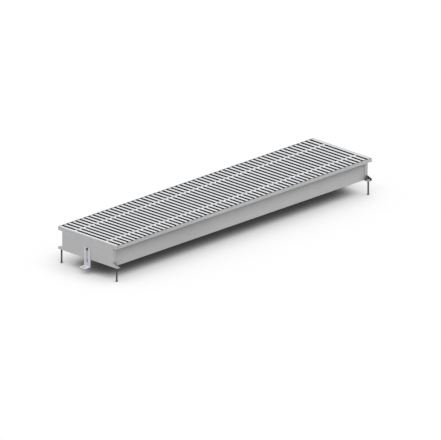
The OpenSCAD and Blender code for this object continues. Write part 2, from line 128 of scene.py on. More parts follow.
def noise(tree, vector, scale, detail, roughness):
    return put(tree, "TexNoise", {
        "Vector": vector, "Scale": scale, "Detail": detail, "Roughness": roughness}).outputs


def colour(tone):
    return (*tone, 1.0)


def startGroup(name, inputs, outputs):
    # inputs and outputs give the name and the kind of each socket
    group = bpy.data.node_groups.new(name, "ShaderNodeTree")
    for side, sockets in (("INPUT", inputs), ("OUTPUT", outputs)):
        for label, kind in sockets.items():
            group.interface.new_socket(
                name=label, in_out=side, socket_type="NodeSocket" + kind)
    given, result = group.nodes.new("NodeGroupInput"), group.nodes.new("NodeGroupOutput")
    return group, given.outputs, result.inputs


# Effects that the finishes share, each with the numbers that shape it; low and high are the
# values of a noise that count as none and as all
mottlePatches = {
    "detail": 3.0, "roughness": 0.55, "low": 0.45, "high": 0.95,
    "fineTimes": 9.0, "fineDetail": 2.0, "fineRoughness": 0.6, "fineShare": 0.4,
}


def makeMottle(size):
    # soft patches of a second tone, from two sizes of noise
    group, given, result = startGroup(
        "surfaceMottle",
        {"Vector": "Vector", "Colour": "Color", "Second": "Color", "Scale": "Float",
         "Amount": "Float"},
        {"Colour": "Color"})
    broad = noise(group, given["Vector"], given["Scale"], size["detail"], size["roughness"])
    fineScale = maths(group, "MULTIPLY", given["Scale"], size["fineTimes"])
    fine = noise(group, given["Vector"], fineScale, size["fineDetail"], size["fineRoughness"])
    both = maths(group, "ADD", broad[0], maths(group, "MULTIPLY", fine[0], size["fineShare"]))
    mask = remap(group, both, size["low"], size["high"])
    amount = maths(group, "MULTIPLY", mask, given["Amount"])
    mixed = mixColours(group, amount, given["Colour"], given["Second"])
    group.links.new(mixed, result["Colour"])
    return group


zincCrystals = {"detail": 1.0, "roughness": 0.5, "bend": 4.0 * mm}


def makeSpangle(size):
    # zinc crystals: every cell a little lighter or darker than the colour given
    group, given, result = startGroup(
        "zincSpangle",
        {"Vector": "Vector", "Colour": "Color", "Scale": "Float", "Amount": "Float"},
        {"Colour": "Color"})
    bent = noise(group, given["Vector"], given["Scale"], size["detail"], size["roughness"])
    shift = vectorMaths(group, "SCALE", {0: bent["Color"], "Scale": size["bend"]})[0]
    place = vectorMaths(group, "ADD", {0: given["Vector"], 1: shift})[0]
    cells = put(group, "TexVoronoi", {"Vector": place, "Scale": given["Scale"]})
    level = put(group, "SeparateColor", {0: cells.outputs["Color"]}).outputs[0]
    shade = maths(group, "MULTIPLY", maths(group, "SUBTRACT", level, 0.5), given["Amount"])
    shaded = shadeColour(group, given["Colour"], maths(group, "ADD", shade, 1.0))
    group.links.new(shaded, result["Colour"])
    return group


grainLines = {
    "detail": 4.0, "roughness": 0.65, "low": 0.3, "high": 0.7,
    "slowTimes": 0.07, "slowDetail": 2.0, "slowRoughness": 0.5, "slowLow": 0.35, "slowHigh": 0.65,
}


def makeGrain(size):
    # fine lines where the vector is stretched, a fine tooth where it isn't; the mask is a
    # slow change for the roughness
    group, given, result = startGroup(
        "drawnGrain",
        {"Vector": "Vector", "Colour": "Color", "Scale": "Float", "Amount": "Float"},
        {"Colour": "Color", "Height": "Float", "Mask": "Float"})
    lines = noise(group, given["Vector"], given["Scale"], size["detail"], size["roughness"])[0]
    slowScale = maths(group, "MULTIPLY", given["Scale"], size["slowTimes"])
    slow = noise(group, given["Vector"], slowScale, size["slowDetail"], size["slowRoughness"])
    darker = maths(group, "SUBTRACT", 1.0, given["Amount"])
    lighter = maths(group, "ADD", 1.0, given["Amount"])
    shade = remap(group, lines, size["low"], size["high"], darker, lighter)
    group.links.new(shadeColour(group, given["Colour"], shade), result["Colour"])
    group.links.new(lines, result["Height"])
    group.links.new(remap(group, slow[0], size["slowLow"], size["slowHigh"]), result["Mask"])
    return group


# flat and edge are the dot products of the true and the rounded normal there
wornEdge = {"samples": 4, "flat": 0.99, "edge": 0.85}


def makeEdgeWear(size):
    # the worn tone on edges, from how far a rounded normal turns away from the true one
    group, given, result = startGroup(
        "edgeWear",
        {"Colour": "Color", "Worn": "Color", "Radius": "Float", "Amount": "Float"},
        {"Colour": "Color"})
    rounded = put(group, "Bevel", {"Radius": given["Radius"]}, samples=size["samples"])
    true = put(group, "NewGeometry").outputs["Normal"]
    facing = vectorMaths(group, "DOT_PRODUCT", {0: rounded.outputs[0], 1: true})["Value"]
    mask = remap(group, facing, size["flat"], size["edge"])
    amount = maths(group, "MULTIPLY", mask, given["Amount"])
    group.links.new(mixColours(group, amount, given["Colour"], given["Worn"]), result["Colour"])
    return group


# steep and level are the upward parts of a normal between which dust starts to lie
dustVeil = {
    "tone": (0.72, 0.71, 0.69), "steep": 0.6, "level": 1.0, "scale": 45.0, "detail": 6.0,
    "roughness": 0.7, "low": 0.35, "high": 0.75, "roughening": 0.4,
}


def makeDust(size):
    # a thin veil on faces that look up, in patches
    group, given, result = startGroup(
        "settledDust",
        {"Vector": "Vector", "Colour": "Color", "Amount": "Float"},
        {"Colour": "Color", "Mask": "Float"})
    normal = put(group, "NewGeometry").outputs["Normal"]
    upward = remap(group, splitAxes(group, normal)[2], size["steep"], size["level"])
    patches = noise(group, given["Vector"], size["scale"], size["detail"], size["roughness"])
    patches = remap(group, patches[0], size["low"], size["high"])
    veil = maths(group, "MULTIPLY", upward, patches)
    mask = maths(group, "MULTIPLY", veil, given["Amount"])
    mixed = mixColours(group, mask, given["Colour"], colour(size["tone"]))
    group.links.new(mixed, result["Colour"])
    group.links.new(mask, result["Mask"])
    return group


# open and hidden are the shares of open sky that stand for no painted shade and for all of it
paintedCornerShade = {"samples": 8, "open": 1.0, "hidden": 0.45}


def makePaintedShade(size):
    # painted shade in corners and under overhangs, darker the more of the sky is hidden
    group, given, result = startGroup(
        "paintedShelterShade",
        {"Colour": "Color", "ShadeTone": "Color", "Reach": "Float", "Amount": "Float"},
        {"Colour": "Color"})
    openSky = put(group, "AmbientOcclusion", {"Distance": given["Reach"]},
                  samples=size["samples"]).outputs["AO"]
    mask = remap(group, openSky, size["open"], size["hidden"])
    amount = maths(group, "MULTIPLY", mask, given["Amount"])
    group.links.new(mixColours(group, amount, given["Colour"], given["ShadeTone"]), result["Colour"])
    return group


surfaceMottle, zincSpangle = makeMottle(mottlePatches), makeSpangle(zincCrystals)
drawnGrain, edgeWear = makeGrain(grainLines), makeEdgeWear(wornEdge)
settledDust, paintedShelterShade = makeDust(dustVeil), makePaintedShade(paintedCornerShade)
print("effects made")

softEdgeSamples = 4


def makeFinish(name, look, shade=None, relief=None):
    # shade adds to its colour what only this finish has, painted light and painted shade among it,
    # and relief adds to its height
    material = bpy.data.materials.new(name)
    material.use_nodes = True
    tree = material.node_tree
    shader = tree.nodes["Principled BSDF"]
    shader.inputs["Metallic"].default_value = look["metallic"]
    plain = put(tree, "TexCoord").outputs["Object"]
    stretched = put(tree, "Mapping", {"Vector": plain, "Scale": look["stretch"]}).outputs[0]
    tone = placeGroup(tree, surfaceMottle, {
        "Vector": plain, "Colour": colour(look["colour"]), "Second": colour(look["second"]),
        "Scale": look["mottleScale"], "Amount": look["mottle"]})["Colour"]
    if "spangle" in look:
        tone = placeGroup(tree, zincSpangle, {
            "Vector": plain, "Colour": tone, "Scale": look["spangleScale"],
            "Amount": look["spangle"]})["Colour"]
    grain = placeGroup(tree, drawnGrain, {
        "Vector": stretched, "Colour": tone, "Scale": look["grainScale"],
        "Amount": look["grain"]})
    tone, height = grain["Colour"], grain["Height"]
    # painted shade: darker where the sky is hidden, under the rim and in corners
    if "paintedShade" in look:
        tone = placeGroup(tree, paintedShelterShade, {
            "Colour": tone, "ShadeTone": colour(look["paintedShadeColour"]),
            "Reach": look["shadeReach"], "Amount": look["paintedShade"]})["Colour"]
    if shade:
        tone = shade(tree, plain, tone)
    tone = placeGroup(tree, edgeWear, {
        "Colour": tone, "Worn": colour(look["wornColour"]),
        "Radius": look["wearRadius"], "Amount": look["wear"]})["Colour"]
    dust = placeGroup(tree, settledDust, {
        "Vector": plain, "Colour": tone, "Amount": look["dust"]})
    tree.links.new(dust["Colour"], shader.inputs["Base Color"])
    rough = remap(tree, grain["Mask"], 0.0, 1.0, look["smooth"], look["rough"])
    dusty = maths(tree, "MULTIPLY", dust["Mask"], dustVeil["roughening"])
    tree.links.new(maths(tree, "ADD", rough, dusty), shader.inputs["Roughness"])
    if relief:
        height = relief(tree, plain, height)
    rounded = put(tree, "Bevel", {"Radius": look["softRadius"]}, samples=softEdgeSamples)
    bump = put(tree, "Bump", {
        "Height": height, "Strength": look["bump"], "Distance": look["bumpDepth"],
        "Normal": rounded.outputs[0]})
    tree.links.new(bump.outputs[0], shader.inputs["Normal"])
    return material


# sheet steel, zinc coated: the tray, and the end plates in a slightly darker tone
sheetSteelLook = {
    "colour": (0.505, 0.505, 0.51), "second": (0.535, 0.535, 0.54), "metallic": 0.2,
    "mottleScale": 14.0, "mottle": 0.5, "spangleScale": 150.0, "spangle": 0.03,
    "stretch": (0.04, 1.0, 1.0), "grainScale": 900.0, "grain": 0.012,
    # the dark tone here is painted shade under the rim and in corners
    "shadeReach": 40.0 * mm, "paintedShade": 0.92, "paintedShadeColour": (0.09, 0.09, 0.092),
    "wearRadius": 0.6 * mm, "wear": 0.35, "wornColour": (0.64, 0.64, 0.65), "dust": 0.04,
    "smooth": 0.45, "rough": 0.6, "softRadius": 0.25 * mm, "bump": 0.25, "bumpDepth": 0.02 * mm,
}
plateSteelLook = {
    **sheetSteelLook, "colour": (0.48, 0.48, 0.483), "second": (0.51, 0.51, 0.513), "paintedShade": 0.1,
}
# black lacquer in the channel, and painted shade in the same black on the rims over its ledges and
# in the ears; how far from the middle the end plates, tray walls, ears and rims are, halfway
# through the sheet, and the heights of the floor, of the ledges and of where it stops
lacquerAndPaintedShade = {
    "lacquerAndShadeTone": (0.035, 0.035, 0.037), "plate": 499.5 * mm, "wall": 98.5 * mm, "ear": 100.4 * mm,
    "earInset": 0.8 * mm, "rim": 114.5 * mm, "rimShadeShare": 0.6,
    "floor": 42.5 * mm, "ledge": 97.5 * mm, "top": 107.0 * mm,
}


def paintLacquerAndShade(tree, plain, tone):
    # black lacquer on the inner faces of the channel; painted shade in the same black, weaker on
    # the rims over its ledges, and in the ears
    size, axes = lacquerAndPaintedShade, splitAxes(tree, plain)
    along, across = [maths(tree, "ABSOLUTE", axes[axis]) for axis in (0, 1)]
    high = axes[2]

    def under(value, limit):
        return maths(tree, "LESS_THAN", value, limit)

    def over(value, limit):
        return maths(tree, "GREATER_THAN", value, limit)

    def both(first, second):
        return maths(tree, "MULTIPLY", first, second)

    channel = under(across, size["wall"])
    rim = both(both(under(across, size["rim"]), over(high, size["ledge"])), size["rimShadeShare"])
    ear = both(over(across, size["ear"]), over(along, size["plate"] - size["earInset"]))
    mask = maths(tree, "MAXIMUM", channel, maths(tree, "MAXIMUM", rim, ear))
    mask = both(mask, under(along, size["plate"]))
    mask = both(both(mask, over(high, size["floor"])), under(high, size["top"]))
    return mixColours(tree, mask, tone, colour(size["lacquerAndShadeTone"]))


sheetSteel = makeFinish("sheetSteel", sheetSteelLook, shade=paintLacquerAndShade)
plateSteel = makeFinish("plateSteel", plateSteelLook, shade=paintLacquerAndShade)

bracketZincLook = {
    "colour": (0.58, 0.57, 0.615), "second": (0.62, 0.61, 0.645), "metallic": 0.3,
    # foot is the foot's painted light, below footTop
    "foot": (0.9, 0.89, 0.92), "footTop": 21.0 * mm,
    "mottleScale": 60.0, "mottle": 0.6, "spangleScale": 420.0, "spangle": 0.04,
    "stretch": (1.0, 1.0, 0.1), "grainScale": 1500.0, "grain": 0.015,
    "wearRadius": 0.5 * mm, "wear": 0.4, "wornColour": (0.78, 0.78, 0.80), "dust": 0.08,
    "smooth": 0.32, "rough": 0.45, "softRadius": 0.3 * mm, "bump": 0.2, "bumpDepth": 0.02 * mm,
}


def paintFootHighlight(tree, plain, tone):
    # painted light: the foot lighter than the leg, where light falls on it in the open
    foot = maths(tree, "LESS_THAN", splitAxes(tree, plain)[2], bracketZincLook["footTop"])
    return mixColours(tree, foot, tone, colour(bracketZincLook["foot"]))


bracketZinc = makeFinish("bracketZinc", bracketZincLook, shade=paintFootHighlight)

# recessTop and flangeBase are the heights between which a bar goes from painted shade to its own
# tone
barAluminiumLook = {
    "colour": (0.79, 0.80, 0.825), "second": (0.83, 0.84, 0.86), "metallic": 1.0,
    "recessShade": (0.3, 0.305, 0.32), "recessTop": 106.95 * mm, "flangeBase": 107.25 * mm,
    "mottleScale": 35.0, "mottle": 0.6,
    "stretch": (1.0, 0.02, 1.0), "grainScale": 2200.0, "grain": 0.03,
    "wearRadius": 0.3 * mm, "wear": 0.4, "wornColour": (0.93, 0.93, 0.94), "dust": 0.03,
    "smooth": 0.3, "rough": 0.42, "softRadius": 0.12 * mm, "bump": 0.3, "bumpDepth": 0.01 * mm,
}


def paintRecessShade(tree, plain, tone):
    # painted shade: the sides of a bar darker below its top, where shade falls between the bars
    look = barAluminiumLook
    flange = remap(tree, splitAxes(tree, plain)[2], look["recessTop"], look["flangeBase"])
    shadedSides = mixColours(tree, 1.0, tone, colour(look["recessShade"]), "MULTIPLY")
    return mixColours(tree, flange, shadedSides, tone)


barAluminium = makeFinish("barAluminium", barAluminiumLook, shade=paintRecessShade)

sleevePlasticLook = {
    "colour": (0.90, 0.90, 0.90), "second": (0.94, 0.94, 0.935), "metallic": 0.0,
    "mottleScale": 90.0, "mottle": 0.6,
    "stretch": (1.0, 1.0, 1.0), "grainScale": 1600.0, "grain": 0.015,
    "wearRadius": 0.3 * mm, "wear": 0.2, "wornColour": (0.97, 0.97, 0.97), "dust": 0.06,
    "smooth": 0.4, "rough": 0.52, "softRadius": 0.15 * mm, "bump": 0.15, "bumpDepth": 0.02 * mm,
}
sleevePlastic = makeFinish("sleevePlastic", sleevePlasticLook)

# out and high are each cord's place, lay is the length of one full turn of its strands
cordSteelLook = {
    "colour": (0.36, 0.36, 0.37), "second": (0.46, 0.46, 0.47), "metallic": 0.9,
    "out": 61.0 * mm, "high": 103.75 * mm, "strands": 6.0, "lay": 14.0 * mm, "tooth": 0.1,
    "mottleScale": 120.0, "mottle": 0.6,
    "stretch": (0.2, 1.0, 1.0), "grainScale": 3000.0, "grain": 0.05,
    "wearRadius": 0.2 * mm, "wear": 0.3, "wornColour": (0.7, 0.7, 0.7), "dust": 0.02,
    "smooth": 0.3, "rough": 0.45, "softRadius": 0.1 * mm, "bump": 0.8, "bumpDepth": 0.25 * mm,
}


def twistStrands(tree, plain, height):
    # height = |sin(half the strands times the angle round the cord, minus the turn along it)|
    look, axes = cordSteelLook, splitAxes(tree, plain)
    out = maths(tree, "SUBTRACT", maths(tree, "ABSOLUTE", axes[1]), look["out"])
    up = maths(tree, "SUBTRACT", axes[2], look["high"])
    angle = maths(tree, "MULTIPLY", maths(tree, "ARCTAN2", up, out), look["strands"] / 2)
    turn = maths(tree, "MULTIPLY", axes[0], math.pi * look["strands"] / look["lay"])
    strands = maths(tree, "ABSOLUTE", maths(tree, "SINE", maths(tree, "SUBTRACT", angle, turn)))
    return maths(tree, "ADD", strands, maths(tree, "MULTIPLY", height, look["tooth"]))


cordSteel = makeFinish("cordSteel", cordSteelLook, relief=twistStrands)

darkScrewLook = {
    "colour": (0.105, 0.105, 0.11), "second": (0.14, 0.14, 0.145), "metallic": 0.85,
    "mottleScale": 160.0, "mottle": 0.7,
    "stretch": (1.0, 1.0, 1.0), "grainScale": 2600.0, "grain": 0.08,
    "wearRadius": 0.25 * mm, "wear": 0.35, "wornColour": (0.33, 0.33, 0.34), "dust": 0.04,
    "smooth": 0.34, "rough": 0.5, "softRadius": 0.08 * mm, "bump": 0.3, "bumpDepth": 0.02 * mm,
}
darkScrew = makeFinish("darkScrew", darkScrewLook)

blackScrewLook = {
    **darkScrewLook, "colour": (0.05, 0.05, 0.053), "second": (0.08, 0.08, 0.083),
    "metallic": 0.5, "wear": 0.2,
}
blackScrew = makeFinish("blackScrew", blackScrewLook)

nutZincLook = {
    "colour": (0.52, 0.52, 0.53), "second": (0.60, 0.60, 0.60), "metallic": 0.6,
    "mottleScale": 180.0, "mottle": 0.7,
    "stretch": (1.0, 1.0, 1.0), "grainScale": 2600.0, "grain": 0.05,
    "wearRadius": 0.25 * mm, "wear": 0.4, "wornColour": (0.75, 0.75, 0.75), "dust": 0.04,
    "smooth": 0.32, "rough": 0.48, "softRadius": 0.08 * mm, "bump": 0.3, "bumpDepth": 0.02 * mm,
}
nutZinc = makeFinish("nutZinc", nutZincLook)

capPlasticLook = {
    "colour": (0.11, 0.11, 0.115), "second": (0.15, 0.15, 0.155), "metallic": 0.0,
    "mottleScale": 200.0, "mottle": 0.6,
    "stretch": (1.0, 1.0, 1.0), "grainScale": 3000.0, "grain": 0.06,
    "wearRadius": 0.3 * mm, "wear": 0.3, "wornColour": (0.28, 0.28, 0.29), "dust": 0.08,
    "smooth": 0.5, "rough": 0.65, "softRadius": 0.15 * mm, "bump": 0.4, "bumpDepth": 0.03 * mm,
}
capPlastic = makeFinish("capPlastic", capPlasticLook)

seatRubberLook = {
    "colour": (0.022, 0.022, 0.024), "second": (0.04, 0.04, 0.042), "metallic": 0.0,
    "mottleScale": 80.0, "mottle": 0.6,
    "stretch": (0.3, 1.0, 1.0), "grainScale": 2500.0, "grain": 0.1,
    "wearRadius": 0.3 * mm, "wear": 0.2, "wornColour": (0.09, 0.09, 0.09), "dust": 0.2,
    "smooth": 0.7, "rough": 0.88, "softRadius": 0.15 * mm, "bump": 0.5, "bumpDepth": 0.05 * mm,
}
seatRubber = makeFinish("seatRubber", seatRubberLook)

copperTubeLook = {
    "colour": (0.70, 0.36, 0.23), "second": (0.50, 0.24, 0.15), "metallic": 1.0,
    "mottleScale": 38.0, "mottle": 0.7,
    "stretch": (0.08, 1.0, 1.0), "grainScale": 1400.0, "grain": 0.05,
    "wearRadius": 0.4 * mm, "wear": 0.3, "wornColour": (0.86, 0.55, 0.42), "dust": 0.1,
    "smooth": 0.22, "rough": 0.42, "softRadius": 0.15 * mm, "bump": 0.25, "bumpDepth": 0.02 * mm,
}
copperTube = makeFinish("copperTube", copperTubeLook)

finAluminiumLook = {
    "colour": (0.70, 0.71, 0.72), "second": (0.80, 0.805, 0.81), "metallic": 0.85,
    "mottleScale": 50.0, "mottle": 0.7,
    "stretch": (60.0, 0.3, 1.0), "grainScale": 700.0, "grain": 0.05,
    "wearRadius": 0.15 * mm, "wear": 0.3, "wornColour": (0.88, 0.88, 0.89), "dust": 0.15,
    "smooth": 0.28, "rough": 0.45, "softRadius": 0.08 * mm, "bump": 0.4, "bumpDepth": 0.04 * mm,
}
finAluminium = makeFinish("finAluminium", finAluminiumLook)

turnedBrassLook = {
    "colour": (0.68, 0.50, 0.22), "second": (0.56, 0.40, 0.17), "metallic": 1.0,
    "mottleScale": 70.0, "mottle": 0.6,
    "stretch": (1.0, 0.12, 0.12), "grainScale": 2400.0, "grain": 0.05,
    "wearRadius": 0.4 * mm, "wear": 0.4, "wornColour": (0.86, 0.72, 0.42), "dust": 0.08,
    "smooth": 0.24, "rough": 0.4, "softRadius": 0.2 * mm, "bump": 0.3, "bumpDepth": 0.02 * mm,
}
turnedBrass = makeFinish("turnedBrass", turnedBrassLook)

solderTinLook = {
    "colour": (0.60, 0.60, 0.61), "second": (0.48, 0.46, 0.44), "metallic": 0.9,
    "mottleScale": 140.0, "mottle": 0.7,
    "stretch": (1.0, 1.0, 1.0), "grainScale": 1200.0, "grain": 0.06,
    "wearRadius": 0.3 * mm, "wear": 0.2, "wornColour": (0.8, 0.8, 0.8), "dust": 0.05,
    "smooth": 0.3, "rough": 0.5, "softRadius": 0.2 * mm, "bump": 0.6, "bumpDepth": 0.08 * mm,
}
solderTin = makeFinish("solderTin", solderTinLook)
print("finishes made")

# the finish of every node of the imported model, by the start of its name
nodeFinishes = {
    "casing_tray": sheetSteel, "near_end_plate": plateSteel, "far_end_plate": plateSteel,
    "exchanger_supports": plateSteel, "near_fixing_bracket": bracketZinc,
    "far_fixing_bracket": bracketZinc, "grille_bars": barAluminium, "roll_bars": barAluminium,
    "grille_spacers": sleevePlastic, "roll_spacers": sleevePlastic,
    "grille_cords": cordSteel, "roll_cords": cordSteel, "levelling_": darkScrew,
    "clamp_": darkScrew, "end_plate_rivets": darkScrew, "support_rivets": darkScrew,
    "screw_foot": capPlastic, "grille_seat_strips": seatRubber,
    "exchanger_pipes": copperTube, "exchanger_bend": copperTube,
    "exchanger_fins": finAluminium, "pipe_unions": turnedBrass, "air_vent": turnedBrass,
}
for nodeName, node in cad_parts.items():
    node.material_slots[0].material = next(
        finish for start, finish in nodeFinishes.items() if nodeName.startswith(start))
print("nodes painted")


# A shape is its points and a list of face arrays, worked out as whole arrays. Each array holds
# faces with the same number of corners.
def gridFaces(rows, columns, loop=False):
    # the quad of row i and column j joins it to row i + 1 and column j + 1; columns go round
    row, column = np.meshgrid(
        np.arange(rows if loop else rows - 1), np.arange(columns), indexing="ij")
    beside, above = (column + 1) % columns, (row + 1) % rows
    return np.stack([
        row * columns + column, row * columns + beside,
        above * columns + beside, above * columns + column], -1).reshape(-1, 4)


def roundAngles(columns):
    return np.arange(columns) * 2 * math.pi / columns


def turned(radius, height, columns, loop=False):
    # x = r cos a, y = r sin a, z = h, for a round one turn; r may change with a as well as h.
    # A loop's last ring meets its first, and any other shape is closed by a fan at each end
    angle = roundAngles(columns)
    height = np.asarray(height, float)
    rows = len(height)
    radius = np.broadcast_to(np.asarray(radius, float).reshape(rows, -1), (rows, columns))
    points = np.stack([
        radius * np.cos(angle), radius * np.sin(angle),
        np.repeat(height[:, None], columns, 1)], -1).reshape(-1, 3)
    faces = [gridFaces(rows, columns, loop)]
    if loop:
        return points, faces
    around = np.arange(columns)
    beside, last = (around + 1) % columns, (rows - 1) * columns
    start, end = np.full(columns, rows * columns), np.full(columns, rows * columns + 1)
    faces.append(np.stack([beside, around, start], -1))
    faces.append(np.stack([last + around, last + beside, end], -1))
    return np.vstack([points, [[0, 0, height[0]], [0, 0, height[-1]]]]), faces


def prism(outline, heights, scales):
    # an outline drawn in x and y, carried up z, and scaled about its middle at each height
    outline = np.asarray(outline, float)
    middle, columns, rows = outline.mean(0), len(outline), len(heights)
    rings = middle + (outline - middle) * np.asarray(scales, float)[:, None, None]
    points = np.concatenate([
        rings, np.repeat(np.asarray(heights, float)[:, None, None], columns, 1)], -1)
    around = np.arange(columns)[None]
    faces = [gridFaces(rows, columns), around[:, ::-1], (rows - 1) * columns + around]
    return points.reshape(-1, 3), faces


def joined(shapes):
    points, faces, start = [], [], 0
    for somePoints, someFaces in shapes:
        points.append(somePoints)
        faces += [corners + start for corners in someFaces]
        start += len(somePoints)
    return np.vstack(points), faces


def moved(shape, place, axes=None):
    # axes are the three directions that the shape's own x, y and z turn to
    points = shape[0] if axes is None else shape[0] @ np.asarray(axes, float)
    return points + np.asarray(place, float), shape[1]


alongX = [[0, 0, -1], [0, 1, 0], [1, 0, 0]]      # a shape's z turns to +X
againstX = [[0, 0, -1], [0, -1, 0], [-1, 0, 0]]  # and to -X
sharpAngle = 35.0


def addPiece(name, shape, body, finish, standsFor):
    points, faces = shape
    mesh = bpy.data.meshes.new(name)
    mesh.from_pydata(points.tolist(), [], [face for some in faces for face in some.tolist()])
    mesh.polygons.foreach_set("use_smooth", np.ones(len(mesh.polygons), bool))
    mesh.set_sharp_from_angle(angle=math.radians(sharpAngle))
    mesh.materials.append(finish)
    piece = bpy.data.objects.new(name, mesh)
    bpy.context.scene.collection.objects.link(piece)
    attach(piece, body)
    if standsFor:
        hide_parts(*standsFor)


def middleOf(nodeName):
    low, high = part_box(nodeName)
    return (np.array(low) + np.array(high)) / 2


def groupMiddles(nodeName, axis, gap):
    # the middles of the groups that a node's points fall into along one axis
    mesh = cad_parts[nodeName].data
    flat = np.empty(len(mesh.vertices) * 3)
    mesh.vertices.foreach_get("co", flat)
    values = np.unique(flat.reshape(-1, 3)[:, axis])
    groups = np.split(values, np.flatnonzero(np.diff(values) > gap) + 1)
    return [float(group[0] + group[-1]) / 2 for group in groups]


def hexRadius(columns, flats, turn=0.0):
    # r = half the flats over cos(a within its flat), with a corner at a = turn
    angle = roundAngles(columns) - turn
    return flats / 2 / np.cos(np.mod(angle, math.pi / 3) - math.pi / 6)


threadFlank, threadCrest = 1.6, 0.2  # how steep a thread's wave is, and how much is cut off


def threadRadius(height, columns, outer, size):
    # a V thread with flat crests: the radius follows a clipped wave of z / pitch - a / a turn;
    # a negative depth makes an inside thread, cut outwards from its bore
    angle = np.arange(columns) / columns
    phase = np.mod(np.asarray(height)[:, None] / size["pitch"] - angle, 1.0)
    wave = np.abs(phase * 2 - 1)
    return outer - size["depth"] * np.clip(wave * threadFlank - threadCrest, 0.0, 1.0)


def threadRows(low, high, size):
    # the heights of a thread's rings, so many to a pitch
    count = int(round((high - low) / size["pitch"] * size["steps"]))
    return np.linspace(low, high, max(1, count) + 1)


# levelling screws: a threaded rod with a slit at the top and a plain tip in its cap
levellingRod = {
    "count": 4, "radius": 2.5 * mm, "tip": 1.8 * mm, "chamfer": 0.45 * mm, "columns": 24,
    "pitch": 0.8 * mm, "depth": 0.32 * mm, "steps": 12,
    "slit": 0.8 * mm, "slitDepth": 1.0 * mm, "slitOverlap": 0.02 * mm,
    "topShare": 0.985, "topChamfer": 0.25 * mm, "topScale": 0.88, "topPoints": 17,
}


def slitHalf(size, low, high, side):
    # half of a round top beside a screwdriver slit: an arc closed by its chord
    start = math.asin(size["slit"] / 2 / size["radius"])
    angle = np.linspace(start, math.pi - start, size["topPoints"])
    reach = size["radius"] * size["topShare"] * side
    outline = np.stack([np.cos(angle), np.sin(angle)], -1) * reach
    return prism(outline, [low, high - size["topChamfer"], high], [1.0, 1.0, size["topScale"]])


def slitRod(size, length):
    # a profile turned about z: the tip, a cone up to the thread, and the thread to the slit
    columns, top = size["columns"], length - size["slitDepth"]
    rows = threadRows(size["chamfer"], top, size)
    tip = np.full((1, columns), size["tip"])
    radii = np.vstack([tip, threadRadius(rows, columns, size["radius"], size)])
    rod = turned(radii, np.concatenate([[0.0], rows]), columns)
    halves = [slitHalf(size, top - size["slitOverlap"], length, side) for side in (-1, 1)]
    return joined([rod, *halves])


rodPlaces = []
for index in range(1, levellingRod["count"] + 1):
    nodeName = f"levelling_screw_{index}"
    low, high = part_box(nodeName)
    rodPlaces.append(middleOf(nodeName)[:2])
    addPiece(f"levelling_rod_{index}",
             moved(slitRod(levellingRod, high[2] - low[2]), [*rodPlaces[-1], low[2]]),
             f"screw_{index}", darkScrew, [nodeName])
print("levelling rods made")

# nuts: face and shoulder are how far from the middle the hexagon's corners are turned off, in
# halves of its flats
levellingNut = {
    "flats": 8.0 * mm, "height": 4.0 * mm, "bore": 2.55 * mm, "lead": 0.35 * mm, "turn": 0.0,
    "pitch": 0.8 * mm, "depth": -0.28 * mm, "steps": 10,
    "corner": 0.35 * mm, "face": 1.02, "shoulder": 1.15, "columns": 48,
}
clampNut = {
    **levellingNut, "flats": 7.0 * mm, "height": 3.2 * mm, "bore": 2.05 * mm,
    "turn": math.pi / 6, "pitch": 0.7 * mm, "depth": -0.245 * mm,
}


def hexNut(size):
    # once round the section: over the lower face, up the hexagon with its corners turned off,
    # back over the upper face, and down the thread of the bore
    columns, height, half = size["columns"], size["height"], size["flats"] / 2
    hexagon = hexRadius(columns, size["flats"], size["turn"])
    mouth = np.full(columns, size["bore"] + size["lead"])
    face = np.minimum(hexagon, half * size["face"])
    shoulder = np.minimum(hexagon, half * size["shoulder"])
    rows = threadRows(size["lead"], height - size["lead"], size)[::-1]
    thread = threadRadius(rows, columns, size["bore"], size)
    radii = np.vstack([mouth, face, shoulder, shoulder, face, mouth, thread])
    heights = [0.0, 0.0, size["corner"], height - size["corner"], height, height]
    return turned(radii, np.concatenate([heights, rows]), columns, loop=True)


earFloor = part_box("levelling_nuts")[0][2]
nuts = [moved(hexNut(levellingNut), [*place, earFloor]) for place in rodPlaces]
addPiece("ear_nuts", joined(nuts), "casing", nutZinc, ["levelling_nuts"])

low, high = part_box("clamp_nuts")
nutStart, clampHeight = low[0], (low[2] + high[2]) / 2
nuts = [moved(hexNut(clampNut), [low[0], 0, clampHeight], alongX),
        moved(hexNut(clampNut), [high[0], 0, clampHeight], againstX)]
addPiece("bracket_nuts", joined(nuts), "casing", nutZinc, ["clamp_nuts"])

# clamp screws: a low domed head with a hexagon socket, on a threaded shank; the tail is what
# comes out of the nut
clampScrew = {
    "headRadius": 3.8 * mm, "headHeight": 2.2 * mm, "crown": 2.0 * mm, "domeShare": 0.8,
    "domeSteps": 9, "socket": 2.5 * mm, "socketDepth": 1.3 * mm, "socketLead": 0.2 * mm,
    "radius": 2.0 * mm, "neck": 0.3 * mm, "tip": 1.4 * mm, "chamfer": 0.4 * mm,
    "pitch": 0.7 * mm, "depth": 0.28 * mm, "steps": 12, "tail": 2.0 * mm, "columns": 48,
}


def domedScrew(size, length):
    # from the socket's floor out over the dome, a quarter ellipse, and along the shank to its tip
    columns, lead, head = size["columns"], size["socketLead"], size["headHeight"]
    socket = hexRadius(columns, size["socket"], math.pi / 6)
    turn = np.linspace(0.0, math.pi / 2, size["domeSteps"])
    dome = size["crown"] + (size["headRadius"] - size["crown"]) * np.sin(turn)
    fall = head * size["domeShare"] * (1 - np.cos(turn))
    rings = [(socket, size["socketDepth"]), (socket, lead), (socket + lead, 0.0),
             *zip(dome, fall), (size["headRadius"], head), (size["radius"], head)]
    rows = threadRows(head + size["neck"], length - size["chamfer"], size)
    radii = np.vstack([
        *[np.broadcast_to(ring, columns) for ring, _ in rings],
        threadRadius(rows, columns, size["radius"], size), np.full(columns, size["tip"])])
    heights = np.concatenate([[place for _, place in rings], rows, [length]])
    return turned(radii, heights, columns)


